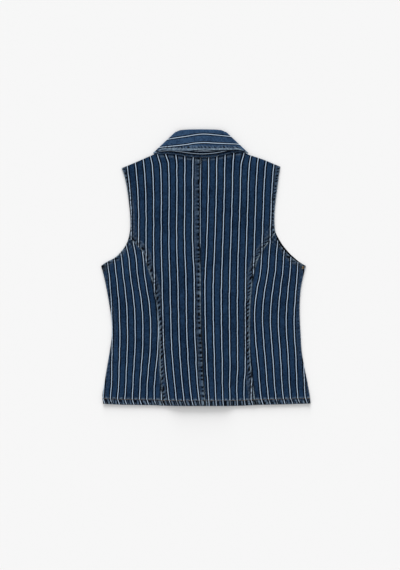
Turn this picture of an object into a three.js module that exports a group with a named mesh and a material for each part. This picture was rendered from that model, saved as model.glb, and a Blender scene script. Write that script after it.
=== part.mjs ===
import * as THREE from 'three';

// A sleeveless denim vest with a turned-down collar, lying flat on its front, so that its back
// is on top. Millimetres. X runs to the right, Y from the hem to the collar and Z up from the
// surface that the fronts, the collar points and the buttons rest on.

// Cloth, and how its layers lie on each other
const wall = 1.2; // one layer of denim
const leafWall = 1.6; // the collar leaf, a doubled layer
const bandWall = 1.6; // each front band, a folded layer
const gap = 0.3; // between layers
const seamGap = 0.4; // between panels at a seam, measured along X
const neckGap = 0.5; // between a panel and the collar stand

// Turned edges and pressed seams, raised in the outer face of a wall
const hem = { depth: 12, fall: 2, rise: 0.8, round: 1.5 };
const seamBand = { width: 11.5, fall: 1.5, rise: 0.5 };
const armholeBand = { width: 8, fall: 1.5, rise: 0.4 };
const edgeRound = { width: 1, drop: 0.35 };

// Sections of the body from the hem up to the underarm: edges and seams at each height
const bodySections = [
  { y: -284, sideLeft: -210.3, seamLeft: -87, centre: 0.6, seamRight: 102.8, sideRight: 215.3 },
  { y: -268, sideLeft: -212, seamLeft: -89.5, centre: -0.5, seamRight: 100.6, sideRight: 213.7 },
  { y: -236, sideLeft: -207.8, seamLeft: -92.8, centre: -3.3, seamRight: 96.4, sideRight: 209 },
  { y: -203, sideLeft: -202.4, seamLeft: -94.4, centre: -4.6, seamRight: 92.9, sideRight: 202.1 },
  { y: -170, sideLeft: -196.8, seamLeft: -94.6, centre: -6, seamRight: 90.8, sideRight: 196.9 },
  { y: -137, sideLeft: -192.6, seamLeft: -95.6, centre: -7.8, seamRight: 90.2, sideRight: 194.9 },
  { y: -104, sideLeft: -193.8, seamLeft: -97.8, centre: -9.4, seamRight: 90.4, sideRight: 193.2 },
  { y: -71.5, sideLeft: -198.6, seamLeft: -101.5, centre: -10.2, seamRight: 91.7, sideRight: 193.2 },
  { y: -39, sideLeft: -204.4, seamLeft: -107.2, centre: -10.4, seamRight: 94.6, sideRight: 196 },
  { y: -6, sideLeft: -212, seamLeft: -116.8, centre: -10.4, seamRight: 99.8, sideRight: 203.2 },
  { y: 3, sideLeft: -215, seamLeft: -120.4, centre: -10.4, seamRight: 102.6, sideRight: 206 },
];

// The hem's lower edge, which rises a little at both sides
const hemEdge = [
  { x: -216, y: -279.8 },
  { x: -172, y: -281.8 },
  { x: -110, y: -282.8 },
  { x: -80, y: -284 },
  { x: 0, y: -284.2 },
  { x: 70, y: -284 },
  { x: 104, y: -282.4 },
  { x: 160, y: -281.2 },
  { x: 216, y: -279.4 },
];

// Armhole edges from the underarm up to the shoulder tip
const armholeLeft = [
  { y: 3, x: -215 },
  { y: 11, x: -203.6 },
  { y: 19, x: -188.2 },
  { y: 28, x: -177.6 },
  { y: 38, x: -169.4 },
  { y: 50, x: -162 },
  { y: 62, x: -158.2 },
  { y: 80, x: -155 },
  { y: 110, x: -155.4 },
  { y: 140, x: -158.6 },
  { y: 170, x: -163 },
  { y: 190, x: -167.8 },
  { y: 203.8, x: -172.5 },
];
const armholeRight = [
  { y: 3, x: 206 },
  { y: 11, x: 190.4 },
  { y: 19, x: 179.6 },
  { y: 28, x: 169.6 },
  { y: 38, x: 160.8 },
  { y: 50, x: 151.6 },
  { y: 71, x: 143.8 },
  { y: 85, x: 141.6 },
  { y: 110, x: 141.5 },
  { y: 140, x: 144.2 },
  { y: 170, x: 148 },
  { y: 190, x: 150.6 },
  { y: 206.8, x: 153.4 },
];
// How far the right front shows past the back's armhole edge
const frontPeek = [
  { y: 3, by: 0 },
  { y: 11, by: 2.4 },
  { y: 19, by: 3.6 },
  { y: 38, by: 3.6 },
  { y: 50, by: 3.8 },
  { y: 62, by: 1.8 },
  { y: 72, by: 0 },
];

// The two long back seams above the underarm, up to where they end in the armholes
const seamTopLeft = [
  { y: 3, x: -120.4 },
  { y: 14, x: -122.9 },
  { y: 25, x: -125.6 },
  { y: 33, x: -130.2 },
  { y: 42, x: -138 },
  { y: 50, x: -145.8 },
  { y: 62, x: -158.2 },
];
const seamTopRight = [
  { y: 3, x: 102.6 },
  { y: 14, x: 106 },
  { y: 25, x: 111.3 },
  { y: 38, x: 119.5 },
  { y: 50, x: 128.2 },
  { y: 60, x: 135.6 },
  { y: 71, x: 143.8 },
];

// Shoulders and back neck from one shoulder tip to the other
const backTop = [
  { x: -172.5, y: 203.8 },
  { x: -140, y: 217.4 },
  { x: -106.5, y: 231.9, corner: true },
  { x: -80, y: 233 },
  { x: -56, y: 230.4 },
  { x: -36, y: 227.4 },
  { x: -10, y: 225.4 },
  { x: 14, y: 226.6 },
  { x: 30, y: 229 },
  { x: 44, y: 232.2 },
  { x: 58, y: 235.2 },
  { x: 72, y: 236.4 },
  { x: 86.1, y: 231.9, corner: true },
  { x: 120, y: 220.6 },
  { x: 153.4, y: 206.8 },
];
// The collar's middle line, and how far out from it the neck points are
const neckCentre = -10.2;
const neckHalfWidth = 96.3;

// The collar by its stations from the middle of its back round to its front end. Fold, edge and
// seam are the rolled top, the leaf's free edge and the line where the stand joins the body.
const backStations = [
  { foldOut: 0, foldY: 283.4, edgeOut: 0, edgeY: 238 },
  { foldOut: 15, foldY: 283.3, edgeOut: 23, edgeY: 238.2 },
  { foldOut: 29, foldY: 282.9, edgeOut: 45, edgeY: 238.8 },
  { foldOut: 37, foldY: 282.3, edgeOut: 66, edgeY: 239.6 },
  { foldOut: 43, foldY: 281.4, edgeOut: 80, edgeY: 240 },
];
const sideLine = { foldOut: 53.5, foldY: 277.2, edgeOut: 98, edgeY: 235 };
const cornerBack = 4; // how much nearer the back's fold the upper side of the side fold starts
const frontStations = [
  { foldOut: 50, foldY: 261, edgeOut: 94, edgeY: 222, seamOut: 92.5, seamY: 223.5 },
  { foldOut: 44, foldY: 244, edgeOut: 89, edgeY: 203, seamOut: 86, seamY: 211 },
  { foldOut: 36, foldY: 226, edgeOut: 82, edgeY: 180, seamOut: 74, seamY: 192 },
  { foldOut: 25, foldY: 208, edgeOut: 74, edgeY: 158, seamOut: 55, seamY: 173 },
  { foldOut: 13, foldY: 195, edgeOut: 65, edgeY: 138, seamOut: 30, seamY: 160 },
  { foldOut: 1.5, foldY: 186, edgeOut: 55, edgeY: 120, seamOut: 1.5, seamY: 156 },
];
const turnSteps = 4;
const rollSteps = 3;
const leafShares = [0.08, 0.35, 0.65, 0.88, 1];
const standShares = [0, 0.5, 1];
const leafBow = 2.6; // how far the leaf's free edge stands off at the middle of the back
const standShort = 0.6; // how far the stand stays back from the leaf's roll

// Front bands and buttons
const band = { halfWidth: 16, lap: 6, steps: 18 };
const button = { count: 6, radius: 7.5, height: 2.4, rim: 1.1, recess: 0.5, foot: 4, sides: 18 };
const buttonRow = { top: 142, bottom: -223 };

// Soft folds of the back, each a ridge with its middle, length, width, turn in degrees and height
const folds = [
  { x: -105, y: 118, length: 62, width: 13, turn: 8, height: 1.2 },
  { x: 62, y: 140, length: 120, width: 22, turn: 82, height: 1.5 },
  { x: -62, y: 52, length: 150, width: 24, turn: 96, height: 1.4 },
  { x: 150, y: -12, length: 56, width: 12, turn: -38, height: 1.5 },
  { x: -158, y: -14, length: 60, width: 12, turn: 40, height: 1.5 },
  { x: 138, y: -62, length: 74, width: 14, turn: 14, height: 1.3 },
  { x: -146, y: -142, length: 84, width: 15, turn: -12, height: 1.3 },
  { x: 44, y: -178, length: 140, width: 22, turn: 92, height: 1.4 },
  { x: -46, y: -196, length: 120, width: 20, turn: 86, height: 1.4 },
];

const denim = new THREE.MeshStandardMaterial({ color: 0x1f3a5c, roughness: 0.9, metalness: 0 });
const denimInside = new THREE.MeshStandardMaterial({ color: 0x2a4766, roughness: 0.92, metalness: 0 });
const metal = new THREE.MeshStandardMaterial({ color: 0x9a8f7c, roughness: 0.38, metalness: 0.9 });

const lerp = THREE.MathUtils.lerp;
const clamp = THREE.MathUtils.clamp;
const smooth = THREE.MathUtils.smoothstep;

// A smooth curve through the rows of a table, read at one of its columns
function through(rows, from, to) {
  return (at) => {
    const last = rows.length - 2;
    const found = rows.findIndex((row, i) => i <= last && at <= rows[i + 1][from]);
    const i = found < 0 ? last : found;
    const [before, a, b, after] = [rows[Math.max(i - 1, 0)], rows[i], rows[i + 1], rows[i + 2] ?? rows[i + 1]];
    const t = clamp((at - a[from]) / (b[from] - a[from]), 0, 1);
    const span = b[from] - a[from];
    const slopeA = before === a ? (b[to] - a[to]) / span : (b[to] - before[to]) / (b[from] - before[from]);
    const slopeB = after === b ? (b[to] - a[to]) / span : (after[to] - a[to]) / (after[from] - a[from]);
    const [t2, t3] = [t * t, t * t * t];
    return (
      a[to] * (2 * t3 - 3 * t2 + 1) + b[to] * (3 * t2 - 2 * t3) +
      slopeA * span * (t3 - 2 * t2 + t) + slopeB * span * (t3 - t2)
    );
  };
}

const underarm = bodySections.at(-1).y;
const sideLeft = through(bodySections, 'y', 'sideLeft');
const sideRight = through(bodySections, 'y', 'sideRight');
const centreSeam = through(bodySections, 'y', 'centre');
const seamLeftLow = through(bodySections, 'y', 'seamLeft');
const seamRightLow = through(bodySections, 'y', 'seamRight');
const seamLeftHigh = through(seamTopLeft, 'y', 'x');
const seamRightHigh = through(seamTopRight, 'y', 'x');
const armLeft = through(armholeLeft, 'y', 'x');
const armRight = through(armholeRight, 'y', 'x');
const peekPast = through(frontPeek, 'y', 'by');
const seamLeft = (y) => (y < underarm ? seamLeftLow(y) : seamLeftHigh(y));
const seamRight = (y) => (y < underarm ? seamRightLow(y) : seamRightHigh(y));
const outlineLeft = (y) => (y < underarm ? sideLeft(y) : armLeft(y));
const outlineRight = (y) => (y < underarm ? sideRight(y) : armRight(y));

// The shoulder and neck lines keep their corners at the neck points
const [neckLeft, neckRight] = backTop.flatMap((row, i) => (row.corner ? [i] : []));
const shoulderLeft = through(backTop.slice(0, neckLeft + 1), 'x', 'y');
const backNeck = through(backTop.slice(neckLeft, neckRight + 1), 'x', 'y');
const shoulderRight = through(backTop.slice(neckRight), 'x', 'y');
function backTopLine(x) {
  if (x < backTop[neckLeft].x) return shoulderLeft(x);
  return x > backTop[neckRight].x ? shoulderRight(x) : backNeck(x);
}
const frontNeck = [
  ...frontStations.map((row) => ({ out: row.seamOut, y: row.seamY })).reverse(),
  { out: neckHalfWidth, y: backTop[neckLeft].y },
];
const frontNeckLine = through(frontNeck, 'out', 'y');
function frontTopLine(x) {
  const out = Math.abs(x - neckCentre);
  if (out <= neckHalfWidth) return frontNeckLine(out);
  return backTopLine(x);
}

const hemLine = through(hemEdge, 'x', 'y');

// How high a layer has to lie to clear what is under it. The spread widens the flat top of each
// rise, so that a layer further up clears it between the lines of its own grid.
const collarArea = [
  { out: 0, y: 186 },
  { out: 55, y: 120 },
  { out: 98, y: 235 },
  { out: 53.5, y: 278 },
  { out: 0, y: 284 },
];
function distanceToCollar(x, y) {
  const point = new THREE.Vector2(Math.abs(x - neckCentre), y);
  let nearest = Infinity;
  let inside = false;
  collarArea.forEach((corner, i) => {
    const next = collarArea[(i + 1) % collarArea.length];
    const a = new THREE.Vector2(corner.out, corner.y);
    const b = new THREE.Vector2(next.out, next.y);
    const along = b.clone().sub(a);
    const t = clamp(point.clone().sub(a).dot(along) / along.lengthSq(), 0, 1);
    if (corner.out + next.out > 0) nearest = Math.min(nearest, a.addScaledVector(along, t).distanceTo(point));
    const crosses = corner.y > y !== next.y > y;
    if (crosses && point.x < ((next.out - corner.out) * (y - corner.y)) / (next.y - corner.y) + corner.out) {
      inside = !inside;
    }
  });
  return inside ? 0 : nearest;
}
const rise = { collarRamp: 22, bandRamp: 30, stackRamp: 34, neckFadeFrom: 160, neckFadeTo: 214 };
const collarLift = (x, y, spread) =>
  (leafWall + gap) * (1 - smooth(distanceToCollar(x, y), spread, spread + rise.collarRamp));
const neckFade = (y) => 1 - smooth(y, rise.neckFadeFrom, rise.neckFadeTo);
const bandMiddle = neckCentre;
const bandLift = (x, y, spread) => {
  const away = Math.abs(x - bandMiddle) - band.halfWidth - spread;
  return (button.height + gap) * neckFade(y) * (1 - smooth(away, 0, rise.bandRamp));
};
const baseLevel = (x, y, spread) => Math.max(collarLift(x, y, spread), bandLift(x, y, spread));
const hemLift = (x, y) =>
  hem.rise * (1 - smooth(y - hemLine(x), hem.depth + hem.fall, 3 * hem.depth));
const frontSpread = 14;
const backSpread = 30;
const frontLevel = (x, y) => baseLevel(x, y, frontSpread);

function foldHeight(x, y) {
  return folds.reduce((sum, fold) => {
    const turn = THREE.MathUtils.degToRad(fold.turn);
    const along = (x - fold.x) * Math.cos(turn) + (y - fold.y) * Math.sin(turn);
    const across = (y - fold.y) * Math.cos(turn) - (x - fold.x) * Math.sin(turn);
    return sum + fold.height * Math.exp(-((along / (fold.length / 2)) ** 2) - (across / fold.width) ** 2);
  }, 0);
}
function backLevel(x, y) {
  const away = Math.abs(x - bandMiddle) - band.halfWidth - band.lap - backSpread / 2;
  const bands = (2 * bandWall + gap - wall) * neckFade(y) * (1 - smooth(away, 0, rise.stackRamp));
  return baseLevel(x, y, backSpread) + wall + bands + hemLift(x, y) + gap + foldHeight(x, y);
}

// A closed wall between two grids of points that have the same rows and columns
function closedWall(outer, inner) {
  const rows = outer.length;
  const columns = outer[0].length;
  const points = [...outer.flat(), ...inner.flat()];
  const at = (i, j, side) => side * rows * columns + i * columns + j;
  const faces = [];
  const quad = (a, b, c, d) => faces.push(a, b, c, a, c, d);
  for (let i = 0; i < rows - 1; i++) {
    for (let j = 0; j < columns - 1; j++) {
      quad(at(i, j, 0), at(i, j + 1, 0), at(i + 1, j + 1, 0), at(i + 1, j, 0));
      quad(at(i, j, 1), at(i + 1, j, 1), at(i + 1, j + 1, 1), at(i, j + 1, 1));
    }
  }
  const rim = [];
  for (let j = 0; j < columns - 1; j++) rim.push([0, j]);
  for (let i = 0; i < rows - 1; i++) rim.push([i, columns - 1]);
  for (let j = columns - 1; j > 0; j--) rim.push([rows - 1, j]);
  for (let i = rows - 1; i > 0; i--) rim.push([i, 0]);
  rim.forEach(([i, j], k) => {
    const [m, n] = rim[(k + 1) % rim.length];
    quad(at(i, j, 1), at(m, n, 1), at(m, n, 0), at(i, j, 0));
  });
  if (signedVolume(points, faces) < 0) faces.reverse();
  const geometry = new THREE.BufferGeometry().setFromPoints(points);
  geometry.setIndex(faces);
  geometry.computeVertexNormals();
  return geometry;
}
function signedVolume(points, faces) {
  let volume = 0;
  for (let f = 0; f < faces.length; f += 3) {
    const [a, b, c] = [points[faces[f]], points[faces[f + 1]], points[faces[f + 2]]];
    volume += a.clone().cross(b).dot(c);
  }
  return volume;
}

function evenly(from, to, steps) {
  return Array.from({ length: steps }, (none, i) => lerp(from, to, (i + 1) / steps));
}

// Rows of a panel from the hem up. Those above the last height run on to the panel's top line.
function panelRows(heights, topFrom, topSteps) {
  const turned = [
    { above: 0, raise: hem.rise / 2 },
    { above: hem.round, raise: hem.rise },
    { above: hem.depth, raise: hem.rise },
    { above: hem.depth + hem.fall, raise: 0 },
  ];
  const low = turned.map((row) => ({ y: bodySections[0].y + row.above, raise: row.raise, hem: 1 }));
  const middle = heights.map((y) => ({ y, raise: 0, hem: 0 }));
  const high = evenly(0, 1, topSteps).map((share) => ({ y: topFrom, share, raise: 0, hem: 0 }));
  return [...low, ...middle, ...(topSteps ? high : [])];
}

// Columns of a panel: fixed distances from its inner and outer edges, and shares between them
function panelColumns(innerBand, outerBand, shares) {
  const edge = (strip) => [
    { at: 0, raise: strip.rise - edgeRound.drop },
    { at: edgeRound.width, raise: strip.rise },
    ...(strip.width ? [{ at: strip.width, raise: strip.rise }, { at: strip.width + strip.fall, raise: 0 }] : []),
  ];
  const full = 62;
  return [
    ...edge(innerBand).map((c) => ({ raise: c.raise, place: (w) => c.at * Math.min(1, w / full) })),
    ...shares.map((share) => ({ raise: 0, place: (w) => share * w })),
    ...edge(outerBand).reverse().map((c) => ({ raise: c.raise, place: (w) => w - c.at * Math.min(1, w / full) })),
  ];
}

// A panel between an inner and an outer line, from the hem to its top line
function panel({ rows, columns, inner, outer, top, tip, level }) {
  const grid = rows.map((row) =>
    columns.map((column) => {
      const width = outer(row.y) - inner(row.y);
      const place = column.place(Math.abs(width)) * Math.sign(width);
      const start = new THREE.Vector2(inner(row.y) + place, row.y);
      start.y += row.hem * (hemLine(start.x) - bodySections[0].y);
      if (row.share) {
        const across = place / width;
        const topX = lerp(inner(tip.y), tip.x, across);
        const edgeY = lerp(row.y, tip.y, row.share);
        const bulge = outer(edgeY) - lerp(outer(row.y), tip.x, row.share);
        start.lerp(new THREE.Vector2(topX, top(topX)), row.share);
        start.x += bulge * across ** 2;
      }
      return { x: start.x, y: start.y, raise: Math.max(row.raise, 0) + column.raise };
    }),
  );
  const surface = (lift) => grid.map((line) => line.map((p) => new THREE.Vector3(p.x, p.y, level(p.x, p.y) + lift(p))));
  return closedWall(surface((p) => wall + p.raise), surface(() => 0));
}

const plainEdge = { width: 0, fall: 0, rise: 0 };
const lowHeights = evenly(bodySections[0].y + hem.depth + hem.fall, underarm, 12);
const archLeft = [11, 19, 28, 38, 50];
const archRight = [11, 19, 28, 38, 50, 60];
const shoulderFrom = 186;

function backCentre(side) {
  const left = side < 0;
  const join = left ? seamTopLeft.at(-1).y : seamTopRight.at(-1).y;
  const arch = left ? archLeft : archRight;
  const seam = left ? seamLeft : seamRight;
  const arm = left ? armLeft : armRight;
  const heights = [...lowHeights, ...arch, join, ...evenly(join, shoulderFrom, 5)];
  const neckOut = Math.abs(backTop[left ? neckLeft : neckRight].x - centreSeam(underarm));
  const tip = left ? backTop[0] : backTop.at(-1);
  const neckShare = neckOut / Math.abs(tip.x - centreSeam(underarm));
  const firstShare = left ? 0.18 : 0.13; // clear of the seam's band where the panel is narrow
  return panel({
    rows: panelRows(heights, shoulderFrom, 4),
    columns: panelColumns(left ? seamBand : plainEdge, seamBand, [firstShare, 0.24, 0.36, 0.48, neckShare, 0.76]),
    inner: (y) => centreSeam(y) + (side * seamGap) / 2,
    outer: (y) => (y < join ? seam(y) - (side * seamGap) / 2 : arm(y)),
    top: backTopLine,
    tip,
    level: backLevel,
  });
}

function backSide(side) {
  const left = side < 0;
  const join = left ? seamTopLeft.at(-1).y : seamTopRight.at(-1).y;
  const arch = left ? archLeft : archRight;
  const seam = left ? seamLeft : seamRight;
  const shortOfJoin = 4;
  return panel({
    rows: panelRows([...lowHeights, ...arch, join - shortOfJoin], 0, 0),
    columns: panelColumns(plainEdge, armholeBand, [0.25, 0.45, 0.65]),
    inner: (y) => seam(y) + (side * seamGap) / 2,
    outer: left ? outlineLeft : outlineRight,
    level: backLevel,
  });
}

function front(side) {
  const left = side < 0;
  const outline = left ? outlineLeft : outlineRight;
  const peek = (y) => (left ? 0 : peekPast(y));
  const inner = bandMiddle + side * (band.halfWidth + seamGap);
  const tip = left ? backTop[0] : backTop.at(-1);
  const beside = frontNeck.filter((row) => row.out > band.halfWidth);
  const neckShares = beside.map((row) => (row.out - band.halfWidth - seamGap) / Math.abs(tip.x - inner));
  const upper = [15, 28, 44, 64, 90];
  const rows = panelRows([...evenly(bodySections[0].y + 14, underarm, 9), ...upper], upper.at(-1), 6);
  return panel({
    rows,
    columns: panelColumns(plainEdge, plainEdge, [...neckShares, 0.72, 0.86]),
    inner: () => inner,
    outer: (y) => outline(y) + peek(y),
    top: frontTopLine,
    tip,
    level: frontLevel,
  });
}

// A front band from the hem to the neck, folded double
function frontBand(left, right, level) {
  const columns = [left, bandMiddle, right];
  const line = (share) =>
    columns.map((x) => new THREE.Vector2(x, lerp(hemLine(x), frontNeckLine(Math.abs(x - neckCentre)), share)));
  const rows = [line(0), ...evenly(0, 1, band.steps).map(line)];
  const surface = (lift) => rows.map((row) => row.map((p) => new THREE.Vector3(p.x, p.y, level(p.x, p.y) + lift)));
  return closedWall(surface(bandWall), surface(0));
}
const buttonholeBand = () =>
  frontBand(bandMiddle - band.halfWidth, bandMiddle + band.halfWidth, frontLevel);
const buttonBand = () =>
  frontBand(
    bandMiddle - band.halfWidth - band.lap,
    bandMiddle + band.halfWidth,
    (x, y) => frontLevel(bandMiddle, y) + bandWall + gap + hemLift(x, y),
  );

// The collar's layers are counted outward from an axis inside its side folds
const standRadius = wall / 2 + gap / 2;
const leafRadius = standRadius + wall / 2 + gap + leafWall / 2;
const collarReach = leafRadius + leafWall / 2;

// Every station of the collar, from the left front end round the back to the right front end
function collarStations() {
  const seamAt = (x) => ({ x, y: backTopLine(x) + neckGap });
  const along = (side, line) => ({
    fold: { x: neckCentre + side * line.foldOut, y: line.foldY },
    edge: { x: neckCentre + side * line.edgeOut, y: line.edgeY },
  });
  const half = (side) => {
    const back = backStations.map((row) => ({
      ...along(side, row),
      seam: seamAt(neckCentre + side * row.edgeOut),
      turn: 0,
      out: { x: 0, y: 0 },
    }));
    const line = along(side, sideLine);
    const run = new THREE.Vector2(line.edge.x - line.fold.x, line.edge.y - line.fold.y).normalize();
    const turned = [0, ...evenly(0, 180, turnSteps)].map((turn) => {
      const back = (cornerBack * (1 + Math.cos(THREE.MathUtils.degToRad(turn)))) / 2;
      return {
        ...line,
        fold: { x: line.fold.x - run.x * back, y: line.fold.y - run.y * back },
        seam: line.edge,
        turn,
        out: { x: -run.y * side, y: run.x * side },
        side,
      };
    });
    const front = frontStations.map((row, i) => {
      const before = frontStations[Math.max(i - 1, 0)];
      const after = frontStations[i + 1] ?? row;
      const run = new THREE.Vector2(before.seamOut - after.seamOut, before.seamY - after.seamY).normalize();
      const seamOut = row.seamOut - run.y * neckGap;
      return {
        ...along(side, row),
        seam: { x: neckCentre + side * seamOut, y: row.seamY + run.x * neckGap },
        turn: 180,
        out: { x: 0, y: 0 },
      };
    });
    return [...back, ...turned, ...front];
  };
  return [...half(-1).reverse(), ...half(1).slice(1)];
}

// A point of a station: a share of the way from the fold to its other line, and a radius
function collarPoint(station, toward, share, radius, lift) {
  const turn = THREE.MathUtils.degToRad(station.turn);
  const inset = collarReach - radius * Math.sin(turn);
  const x = lerp(station.fold.x, toward.x, share) - station.out.x * inset;
  const y = lerp(station.fold.y, toward.y, share) - station.out.y * inset;
  return new THREE.Vector3(x, y, collarReach + radius * Math.cos(turn) + lift(x, y));
}

// Over the front bands the stand lies higher than beside them
const standLift = (station) => (x, y) =>
  station.turn === 180 && !station.side ? Math.max(frontLevel(x, y) - leafWall - gap, 0) : 0;

function collarStand(stations) {
  const startInset = leafRadius - standRadius + wall / 2 + gap + standShort;
  const surface = (radius) =>
    stations.map((station) => {
      const length = Math.hypot(station.seam.x - station.fold.x, station.seam.y - station.fold.y);
      return standShares.map((share) =>
        collarPoint(station, station.seam, lerp(startInset / length, 1, share), radius, standLift(station)),
      );
    });
  return closedWall(surface(standRadius + wall / 2), surface(standRadius - wall / 2));
}

function collarLeaf(stations) {
  const section = (station, side) => {
    const length = Math.hypot(station.edge.x - station.fold.x, station.edge.y - station.fold.y);
    const lift = standLift(station)(station.fold.x, station.fold.y);
    const rollRadius = (leafRadius - standRadius + lift) / 2;
    const rollMiddle = leafRadius - rollRadius;
    const rollInset = rollRadius + wall / 2;
    const roll = [0, ...evenly(0, 180, rollSteps)].slice(0, rollSteps).map((angle) => {
      const turned = THREE.MathUtils.degToRad(180 - angle);
      const away = rollRadius + (side * wall) / 2;
      const share = (rollInset - away * Math.sin(turned)) / length;
      return collarPoint(station, station.edge, share, rollMiddle + away * Math.cos(turned), () => 0);
    });
    const bow = (share) => (station.turn === 0 && !station.side ? leafBow * share ** 2 : 0);
    const across = Math.abs(station.edge.x - neckCentre) / sideLine.edgeOut;
    const flat = leafShares.map((share) =>
      collarPoint(station, station.edge, share, leafRadius + (side * leafWall) / 2, () => bow(share) * (1 - across)),
    );
    return [...roll, ...flat];
  };
  return closedWall(
    stations.map((station) => section(station, 1)),
    stations.map((station) => section(station, -1)),
  );
}

// A plain metal button with its rimmed face down
function buttonHead() {
  const profile = [
    new THREE.Vector2(0, button.recess),
    new THREE.Vector2(button.radius - 2 * button.rim, button.recess),
    new THREE.Vector2(button.radius - button.rim, 0),
    new THREE.Vector2(button.radius - button.rim / 2, 0),
    new THREE.Vector2(button.radius, button.rim / 2),
    new THREE.Vector2(button.radius - button.rim / 2, button.height - button.rim / 2),
    new THREE.Vector2(button.foot, button.height - button.rim / 2),
    new THREE.Vector2(button.foot, button.height),
    new THREE.Vector2(0, button.height),
  ];
  return new THREE.LatheGeometry(profile, button.sides);
}

const vest = new THREE.Group();
function add(name, geometry, material) {
  const mesh = new THREE.Mesh(geometry, material);
  mesh.name = name;
  vest.add(mesh);
  return mesh;
}

add('back_centre_left', backCentre(-1), denim);
add('back_centre_right', backCentre(1), denim);
add('back_side_left', backSide(-1), denim);
add('back_side_right', backSide(1), denim);
add('front_left', front(-1), denim);
add('front_right', front(1), denim);
add('button_band', buttonBand(), denimInside);
add('buttonhole_band', buttonholeBand(), denim);
const stations = collarStations();
add('collar_stand', collarStand(stations), denimInside);
add('collar_leaf', collarLeaf(stations), denim);
for (let i = 0; i < button.count; i++) {
  const mesh = add(`button_${i + 1}`, buttonHead(), metal);
  mesh.rotation.x = Math.PI / 2;
  mesh.position.set(bandMiddle, lerp(buttonRow.top, buttonRow.bottom, i / (button.count - 1)), 0);
}

export default vest;
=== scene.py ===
import math
import bpy
import numpy as np
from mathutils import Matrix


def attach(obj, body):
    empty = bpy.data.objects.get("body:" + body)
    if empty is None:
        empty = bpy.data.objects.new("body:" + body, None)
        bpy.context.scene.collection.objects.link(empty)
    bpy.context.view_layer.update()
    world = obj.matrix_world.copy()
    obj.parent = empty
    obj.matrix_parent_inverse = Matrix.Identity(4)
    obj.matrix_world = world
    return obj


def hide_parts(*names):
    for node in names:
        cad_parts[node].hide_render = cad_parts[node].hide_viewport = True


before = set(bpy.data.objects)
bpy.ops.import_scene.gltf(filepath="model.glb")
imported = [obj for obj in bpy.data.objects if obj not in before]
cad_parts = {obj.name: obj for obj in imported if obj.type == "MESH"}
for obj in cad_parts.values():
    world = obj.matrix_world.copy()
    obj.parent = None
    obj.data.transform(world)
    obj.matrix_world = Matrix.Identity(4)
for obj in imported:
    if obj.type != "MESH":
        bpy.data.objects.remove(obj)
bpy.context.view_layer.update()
mm = 0.001  # every table below is in millimetres

print("vest: outlines and levels")

cloth = {"wall": 1.2, "leafWall": 1.6, "bandWall": 1.6, "gap": 0.3, "seamGap": 0.4, "neckGap": 0.5}
hem = {"depth": 12, "fall": 1.2, "rise": 0.8}
seamBand = {"width": 11.5, "fall": 1.2, "rise": 0.5}
armholeBand = {"width": 8, "fall": 1.2, "rise": 0.4}

# edges and seams of the body at each height, from the hem to the underarm
body = {
    "y": [-284, -268, -236, -203, -170, -137, -104, -71.5, -39, -6, 3],
    "sideLeft": [-210.3, -212, -207.8, -202.4, -196.8, -192.6, -193.8, -198.6, -204.4, -212, -215],
    "seamLeft": [-87, -89.5, -92.8, -94.4, -94.6, -95.6, -97.8, -101.5, -107.2, -116.8, -120.4],
    "centre": [0.6, -0.5, -3.3, -4.6, -6, -7.8, -9.4, -10.2, -10.4, -10.4, -10.4],
    "seamRight": [102.8, 100.6, 96.4, 92.9, 90.8, 90.2, 90.4, 91.7, 94.6, 99.8, 102.6],
    "sideRight": [215.3, 213.7, 209, 202.1, 196.9, 194.9, 193.2, 193.2, 196, 203.2, 206],
}
hemEdge = {
    "x": [-216, -172, -110, -80, 0, 70, 104, 160, 216],
    "y": [-279.8, -281.8, -282.8, -284, -284.2, -284, -282.4, -281.2, -279.4],
}
underarm = body["y"][-1]
armhole = {
    -1: {"y": [3, 11, 19, 28, 38, 50, 62, 80, 110, 140, 170, 190, 203.8],
         "x": [-215, -203.6, -188.2, -177.6, -169.4, -162, -158.2, -155, -155.4, -158.6, -163, -167.8,
               -172.5]},
    1: {"y": [3, 11, 19, 28, 38, 50, 71, 85, 110, 140, 170, 190, 206.8],
        "x": [206, 190.4, 179.6, 169.6, 160.8, 151.6, 143.8, 141.6, 141.5, 144.2, 148, 150.6, 153.4]},
}
seamTop = {
    -1: {"y": [3, 14, 25, 33, 42, 50, 62], "x": [-120.4, -122.9, -125.6, -130.2, -138, -145.8, -158.2]},
    1: {"y": [3, 14, 25, 38, 50, 60, 71], "x": [102.6, 106, 111.3, 119.5, 128.2, 135.6, 143.8]},
}
backTop = {
    "x": [-172.5, -140, -106.5, -80, -56, -36, -10, 14, 30, 44, 58, 72, 86.1, 120, 153.4],
    "y": [203.8, 217.4, 231.9, 233, 230.4, 227.4, 225.4, 226.6, 229, 232.2, 235.2, 236.4, 231.9, 220.6,
          206.8],
    "neckLeft": 2,
    "neckRight": 12,
}
# at the right armhole: the front's edge, which shows past the back's, and the back's, drawn in
frontPeek = {"y": [3, 11, 19, 38, 50, 62, 72], "by": [0, 2.4, 3.6, 3.6, 3.8, 1.8, 0]}
armholeRoll = {"y": [3, 9, 17, 38, 52, 62, 72], "by": [0, 0.5, 1.5, 1.7, 1.5, 0.6, 0]}
neckCentre = -10.2
neckHalfWidth = 96.3
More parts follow.
